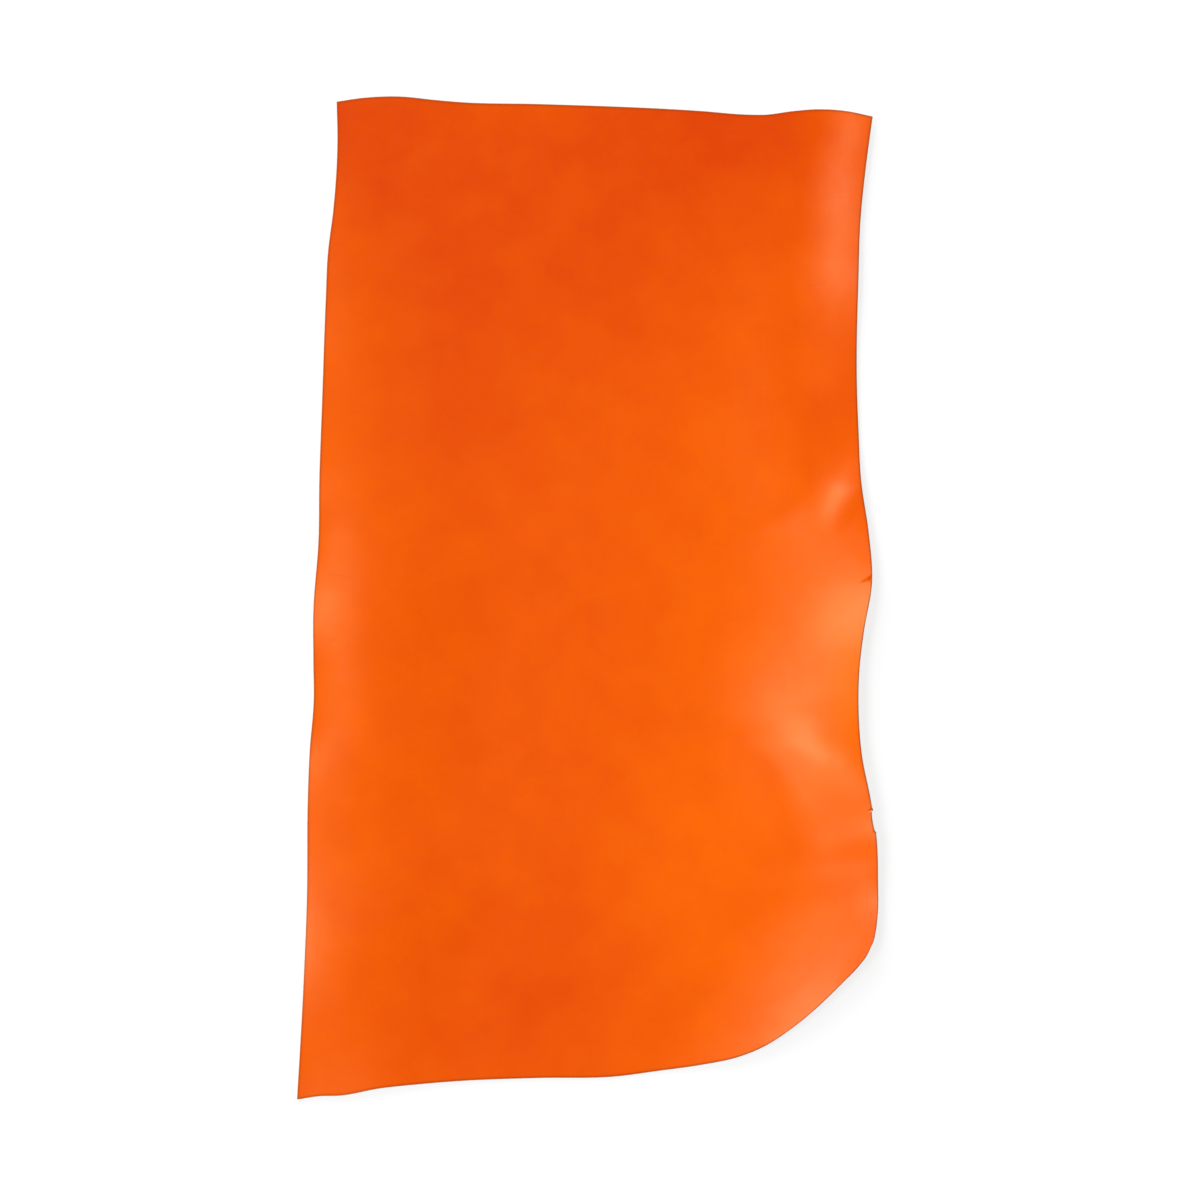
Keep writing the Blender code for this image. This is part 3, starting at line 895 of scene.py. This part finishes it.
@dataclass
class Hide:
    """The half hide: one sheet of leather with its grain side, flesh side and cut edge.

    Sizes are in mm. The mesh's columns crowd at the two sides, and its rows at the two ends, the
    bites and the creases. A crease's crowd is denser the narrower it is: its extra density is
    the crease crowding over its width. The counts keep the piece under 200,000 triangles.
    """

    outline: Outline = field(default_factory=Outline)
    relief: Relief = field(default_factory=Relief)
    thickness: float = 2.0
    columns: int = 140
    rows: int = 335
    side_crowds: tuple[Crowd, ...] = rows_of(
        Crowd, (0.0, 0.05, 2.0), (1.0, 0.06, 2.0), (0.0, 0.008, 4.0), (1.0, 0.015, 5.0)
    )
    end_crowds: tuple[Crowd, ...] = rows_of(Crowd, (0.0, 0.006, 6.0), (1.0, 0.006, 6.0))
    bite_crowd_reach: float = 0.012
    bite_crowd_extra: float = 2.5
    crease_crowd_reach: float = 0.006
    crease_crowding: float = 24.0
    sharp_angle: float = 50.0
    edge_round: float = 1.0
    edge_steps: tuple[float, ...] = (0.08, 0.2, 0.36, 0.54, 0.72, 0.88)
    # The dark line along the rim is partly pooled dye and partly painted shade of the rounded cut.
    edge_dye_and_shade: float = 0.8
    edge_dye_and_shade_reach: float = 2.2
    ground_dye: float = 0.65
    # The paler patches, most along the lit belly and backbone edges, are partly painted light.
    dye_and_light_patches: tuple[DyeAndLightPatch, ...] = rows_of(
        DyeAndLightPatch,
        ((-36, 634), (430, 170), 0.24), ((205, 612), (120, 80), 0.18),
        ((-320, 610), (110, 100), 0.17), ((-100, 640), (90, 50), -0.15),
        ((330, 640), (60, 60), -0.15), ((-190, 450), (150, 110), 0.1),
        ((120, 490), (80, 80), 0.05), ((-173, 322), (117, 143), 0.16),
        ((-179, 218), (55, 62), 0.09), ((42, 400), (105, 117), 0.14),
        ((320, 245), (60, 50), 0.14), ((-62, -503), (117, 104), 0.14),
        ((-179, -568), (90, 50), 0.06), ((224, -29), (170, 430), -0.2),
        ((120, -328), (90, 150), -0.1), ((200, -410), (150, 190), -0.13),
        ((345, -125), (42, 125), -0.36), ((-368, -68), (110, 560), -0.2),
        ((180, -55), (115, 85), -0.05), ((140, -575), (130, 65), -0.07),
        ((-310, 370), (110, 60), -0.04),
    )
    # How far the sheet was moved from its plan onto the frame's hide, in metres.
    shift: np.ndarray = field(init=False, default_factory=lambda: np.zeros(3))

    def lines(self, count: int, crowds: tuple[Crowd, ...]) -> np.ndarray:
        """Shares of the mesh lines, closer where it is crowded.

        The density is 1 plus a bell curve for each crowd. The lines stand at equal steps of
        its running sum.

        Args:
            count: how many lines.
            crowds: the places where they stand closer.

        Returns:
            The shares, from 0 to 1.
        """
        fine = np.linspace(0.0, 1.0, DENSITY_STEPS)
        density = np.ones_like(fine)
        for crowd in crowds:
            density += crowd.extra * np.exp(-(((fine - crowd.share) / crowd.reach) ** 2))
        total = np.concatenate([[0.0], np.cumsum((density[1:] + density[:-1]) / 2)])
        return np.interp(np.linspace(0.0, total[-1], count), total, fine)

    def grid(self) -> tuple[np.ndarray, np.ndarray]:
        """Lays out the mesh lines, closer at the hide's edges, bites and creases.

        Returns:
            The shares across the hide and along it, for each point of the grid.
        """
        rows = list(self.end_crowds)
        for bite in self.outline.bites:
            rows.append(Crowd(bite.share, self.bite_crowd_reach, self.bite_crowd_extra))
        for crease in self.relief.creases:
            x, y = (np.array(crease.start) + np.array(crease.end)) / 2
            extra = self.crease_crowding / crease.width
            rows.append(Crowd(self.outline.row_through(x, y), self.crease_crowd_reach, extra))
        columns = self.lines(self.columns, self.side_crowds)
        return np.meshgrid(columns, self.lines(self.rows, tuple(rows)))

    def normals(self, points: np.ndarray) -> np.ndarray:
        """Unit normals of a grid of points, from the cross product of its two slopes."""
        along = np.gradient(points, axis=0)
        across = np.gradient(points, axis=1)
        normal = np.cross(across, along)
        return normal / np.linalg.norm(normal, axis=-1, keepdims=True)

    def build(self) -> bpy.types.Object:
        """Builds the closed mesh of the hide.

        Returns:
            The hide's object, standing where the frame's hide stands.
        """
        u, v = self.grid()
        plan = self.outline.stretch(u, v) + self.outline.bitten(u, v)
        height = self.relief.height(self.outline, u, v, plan)
        flesh = np.concatenate([plan, height[..., None]], axis=-1)
        grain = flesh + self.thickness * self.normals(flesh)
        crease, dark = self.relief.creased(plan)
        grain[..., 2] -= crease
        loop = self.boundary()
        sides = [grain.reshape(-1, 3), flesh.reshape(-1, 3)]
        rings = self.edge_rings(*sides, loop)
        points = self.placed(np.concatenate([*sides, *rings]) * MM)
        quads, surfaces = self.faces(loop)
        piece = self.piece(points, quads, surfaces)
        self.store(piece, DYE_AND_LIGHT, self.dye_and_light_depth(points))
        # Painted shade: the creases, and the rim's dark line, which is partly pooled dye.
        dark = np.maximum(dark, self.rim_dye_and_shade(u, v)).ravel()
        self.store(piece, SHADE_AND_RIM_DYE, np.pad(dark, (0, len(points) - dark.size)))
        return piece

    def rim_dye_and_shade(self, u: np.ndarray, v: np.ndarray) -> np.ndarray:
        """Dark line painted along the cut: partly pooled dye, partly painted shade of the edge."""
        width, length = self.outline.width(v), self.outline.length(u)
        inset = np.minimum(np.minimum(u, 1 - u) * width, np.minimum(v, 1 - v) * length)
        return self.edge_dye_and_shade * np.exp(-((inset / self.edge_dye_and_shade_reach) ** 2))

    def boundary(self) -> np.ndarray:
        """Indices of the grid's rim, anticlockwise seen from above."""
        index = np.arange(self.rows * self.columns).reshape(self.rows, self.columns)
        return np.concatenate([index[0, :-1], index[:-1, -1], index[-1, :0:-1], index[:0:-1, 0]])

    def edge_rings(
        self, grain: np.ndarray, flesh: np.ndarray, loop: np.ndarray
    ) -> list[np.ndarray]:
        """Draws the rims of both sides in, and rounds the cut edge out between them.

        Each ring stands at a share s of a half turn: (1 - cos(pi s)) / 2 of the way down and
        sin(pi s) of the rounding out.

        Args:
            grain: points of the grain side, whose rim is moved.
            flesh: points of the flesh side, whose rim is moved.
            loop: indices of the rim.

        Returns:
            The rings' points.
        """
        run = np.roll(flesh[loop], -1, axis=0) - np.roll(flesh[loop], 1, axis=0)
        outward = np.cross(run, grain[loop] - flesh[loop])
        outward *= self.edge_round / np.linalg.norm(outward, axis=1, keepdims=True)
        grain[loop] -= outward
        flesh[loop] -= outward
        top, bottom = grain[loop], flesh[loop]
        return [
            top
            + (bottom - top) * (1 - math.cos(math.pi * step)) / 2
            + outward * math.sin(math.pi * step)
            for step in self.edge_steps
        ]

    def faces(self, loop: np.ndarray) -> tuple[np.ndarray, np.ndarray]:
        """Joins the points into quads and names each quad's surface.

        Args:
            loop: indices of the grid's rim.

        Returns:
            The quads' corners and the quads' surfaces.
        """
        index = np.arange(self.rows * self.columns).reshape(self.rows, self.columns)
        grain = np.stack(
            [index[:-1, :-1], index[:-1, 1:], index[1:, 1:], index[1:, :-1]], axis=-1
        ).reshape(-1, 4)
        flesh = grain[:, ::-1] + index.size
        first = 2 * index.size + np.arange(len(loop))
        rings = [first + number * len(loop) for number in range(len(self.edge_steps))]
        rings = [loop, *rings, loop + index.size]
        cut = np.concatenate(
            [
                np.stack([upper, lower, np.roll(lower, -1), np.roll(upper, -1)], axis=-1)
                for upper, lower in zip(rings, rings[1:])
            ]
        )
        surfaces = np.repeat(
            [Surface.GRAIN, Surface.FLESH, Surface.CUT], [len(grain), len(flesh), len(cut)]
        )
        return np.concatenate([grain, flesh, cut]), surfaces

    def placed(self, points: np.ndarray) -> np.ndarray:
        """Moves the points so that their box stands on the middle of the frame's hide.

        Args:
            points: the mesh's points in metres, as the plan has them.

        Returns:
            The points where the hide stands.
        """
        low, high = (np.array(corner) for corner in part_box(NODE))
        shift = (low + high) / 2 - (points.min(axis=0) + points.max(axis=0)) / 2
        shift[2] = low[2] - points[:, 2].min()
        self.shift = shift
        return points + shift

    def piece(
        self, points: np.ndarray, quads: np.ndarray, surfaces: np.ndarray
    ) -> bpy.types.Object:
        """Puts the arrays into a mesh object.

        Args:
            points: the mesh's points in metres.
            quads: four point numbers for each face.
            surfaces: the surface of each face.

        Returns:
            The object.
        """
        mesh = bpy.data.meshes.new("leather_sheet")
        mesh.vertices.add(len(points))
        mesh.vertices.foreach_set("co", points.ravel())
        mesh.loops.add(quads.size)
        mesh.loops.foreach_set("vertex_index", quads.ravel())
        mesh.polygons.add(len(quads))
        mesh.polygons.foreach_set("loop_start", np.arange(0, quads.size, 4))
        mesh.polygons.foreach_set("material_index", surfaces)
        mesh.update(calc_edges=True)
        mesh.validate()
        mesh.shade_smooth()
        mesh.set_sharp_from_angle(angle=math.radians(self.sharp_angle))
        piece = bpy.data.objects.new("leather_sheet", mesh)
        bpy.context.scene.collection.objects.link(piece)
        return piece

    def dye_and_light_depth(self, points: np.ndarray) -> np.ndarray:
        """Dye depth, with painted light in paler patches: the ground plus a bell curve for each.

        Args:
            points: the mesh's points in metres, where the hide stands.

        Returns:
            A depth for each point, from 0 for the light dye to 1 for the deep dye.
        """
        plan = (points - self.shift)[:, :2] / MM
        depth = np.full(len(plan), self.ground_dye)
        for patch in self.dye_and_light_patches:
            away = (plan - np.array(patch.middle)) / np.array(patch.reach)
            depth += patch.depth * np.exp(-(away ** 2).sum(axis=1))
        return depth

    def store(self, piece: bpy.types.Object, name: str, values: np.ndarray) -> None:
        """Stores one number for each point of the mesh."""
        attribute = piece.data.attributes.new(name, "FLOAT", "POINT")
        attribute.data.foreach_set("value", values)

    def dress(self, piece: bpy.types.Object) -> None:
        """Gives the three surfaces their finishes, in the order of the Surface numbers."""
        for finish in (GrainFinish(), FleshFinish(), CutFinish()):
            piece.data.materials.append(finish.material())


# ---- The studio ----


@dataclass(frozen=True)
class Studio:
    """A pale, lit table, soft light from the left, and a camera straight above the hide.

    A second, low light rakes only the table, so that the hide's shadow shows on it. Sizes are in
    metres and angles in degrees. The sky fades out between its two heights, which are shares of
    the way from the horizon to straight up.
    """

    camera_height: float = 8.0
    view_width: float = 1.56
    sensor_mm: float = 36.0
    camera_offset: tuple[float, float] = (0.0164, -0.0026)
    floor_size: float = 100.0
    floor_gap: float = 0.0002
    floor_glow: float = 0.84
    floor_white: float = 0.085
    key_strength: float = 3.62
    key_tilt: float = 32.0
    key_from: float = 172.0
    key_softness: float = 24.0
    low_strength: float = 7.5
    low_tilt: float = 66.0
    low_from: float = 120.0
    low_softness: float = 40.0
    horizon_strength: float = 0.9
    horizon_height: float = 0.2
    dark_height: float = 0.75
    mirror_dimming: float = 0.82

    def floor(self) -> bpy.types.Object:
        """The pale table that the hide lies on, lit from below so that shadows stay faint.

        It is clear from its back, so that the hide's flesh side shows from below.
        """
        bpy.ops.mesh.primitive_plane_add(size=self.floor_size, location=(0.0, 0.0, -self.floor_gap))
        floor = bpy.context.object
        floor.name = "floor"
        material, tree, shader = new_material("pale_light_table")
        look = {
            "Base Color": (*[self.floor_white] * 3, 1.0),
            "Roughness": 1.0,
            "Specular IOR Level": 0.0,
            "Emission Color": linear("#FFFFFF"),
            "Emission Strength": self.floor_glow,
        }
        wire(tree, shader, look, {})
        back = add_node(tree, "ShaderNodeNewGeometry", {}, {}).outputs["Backfacing"]
        clear = add_node(tree, "ShaderNodeBsdfTransparent", {}, {}).outputs[0]
        mixed = add_node(
            tree, "ShaderNodeMixShader", {}, {0: back, 1: shader.outputs[0], 2: clear}
        ).outputs[0]
        wire(tree, tree.nodes["Material Output"], {}, {"Surface": mixed})
        floor.data.materials.append(material)
        return floor

    def far_light(
        self, name: str, strength: float, tilt: float, turn: float, softness: float
    ) -> bpy.types.Object:
        """Adds one soft, far light.

        Args:
            name: what it is called.
            strength: its strength.
            tilt: degrees between it and straight up.
            turn: degrees that it is turned about the middle of the table.
            softness: how wide it looks from the table, in degrees.

        Returns:
            The lamp.
        """
        light = bpy.data.lights.new(name, "SUN")
        light.energy = strength
        light.angle = math.radians(softness)
        lamp = bpy.data.objects.new(name, light)
        lamp.rotation_euler = (0.0, math.radians(tilt), math.radians(turn))
        bpy.context.scene.collection.objects.link(lamp)
        return lamp

    def lights(self, floor: bpy.types.Object) -> None:
        """Adds the key light from the left, and a low one that rakes only the table.

        Args:
            floor: the table.
        """
        self.far_light("key", self.key_strength, self.key_tilt, self.key_from, self.key_softness)
        low = self.far_light(
            "table", self.low_strength, self.low_tilt, self.low_from, self.low_softness
        )
        lit = bpy.data.collections.new("lit_by_table_light")
        lit.objects.link(floor)
        low.light_linking.receiver_collection = lit

    def world(self) -> None:
        """A sky that is brighter near the horizon and dark above, white where it shows.

        It is dimmer in reflections, so that the wax keeps its colour when seen from the side.
        """
        world = bpy.data.worlds.new("studio")
        bpy.context.scene.world = world
        world.use_nodes = True
        tree = world.node_tree
        direction = add_node(tree, "ShaderNodeTexCoord", {}, {}).outputs["Generated"]
        up = add_node(tree, "ShaderNodeSeparateXYZ", {}, {0: direction}).outputs["Z"]
        low = add_node(
            tree, "ShaderNodeMapRange",
            {
                "From Min": self.horizon_height,
                "From Max": self.dark_height,
                "To Min": self.horizon_strength,
                "To Max": 0.0,
            },
            {"Value": up},
        ).outputs["Result"]
        path = add_node(tree, "ShaderNodeLightPath", {}, {})
        kept = add_node(
            tree, "ShaderNodeMath",
            {"operation": "MULTIPLY_ADD", 1: -self.mirror_dimming, 2: 1.0},
            {0: path.outputs["Is Glossy Ray"]},
        ).outputs[0]
        low = add_node(
            tree, "ShaderNodeMath", {"operation": "MULTIPLY"}, {0: low, 1: kept}
        ).outputs[0]
        strength = add_node(
            tree, "ShaderNodeMath", {"operation": "MAXIMUM"},
            {0: low, 1: path.outputs["Is Camera Ray"]},
        ).outputs[0]
        wire(tree, tree.nodes["Background"], {"Color": linear("#FFFFFF")}, {"Strength": strength})

    def camera(self) -> None:
        """Sets the camera straight above the hide, looking down, with the head end up."""
        x, y = np.mean(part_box(NODE), axis=0)[:2] + np.array(self.camera_offset)
        data = bpy.data.cameras.new("camera")
        data.sensor_width = self.sensor_mm
        data.lens = self.sensor_mm * self.camera_height / self.view_width
        camera = bpy.data.objects.new("camera", data)
        camera.location = (x, y, self.camera_height)
        bpy.context.scene.collection.objects.link(camera)
        bpy.context.scene.camera = camera

    def build(self) -> None:
        """Makes the floor, the light, the sky and the camera."""
        floor = self.floor()
        self.lights(floor)
        self.world()
        self.camera()
        bpy.context.scene.view_settings.view_transform = "Standard"


def main() -> None:
    """Builds the hide, dresses it, and sets up the studio around it."""
    logging.basicConfig(level=logging.INFO, format="%(name)s: %(message)s")
    hide = Hide()
    piece = hide.build()
    hide.dress(piece)
    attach(piece, "root")
    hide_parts(NODE)
    log.info("leather sheet: %d faces", len(piece.data.polygons))
    Studio().build()
    log.info("studio: floor, light and camera")


if __name__ == "__main__":
    main()
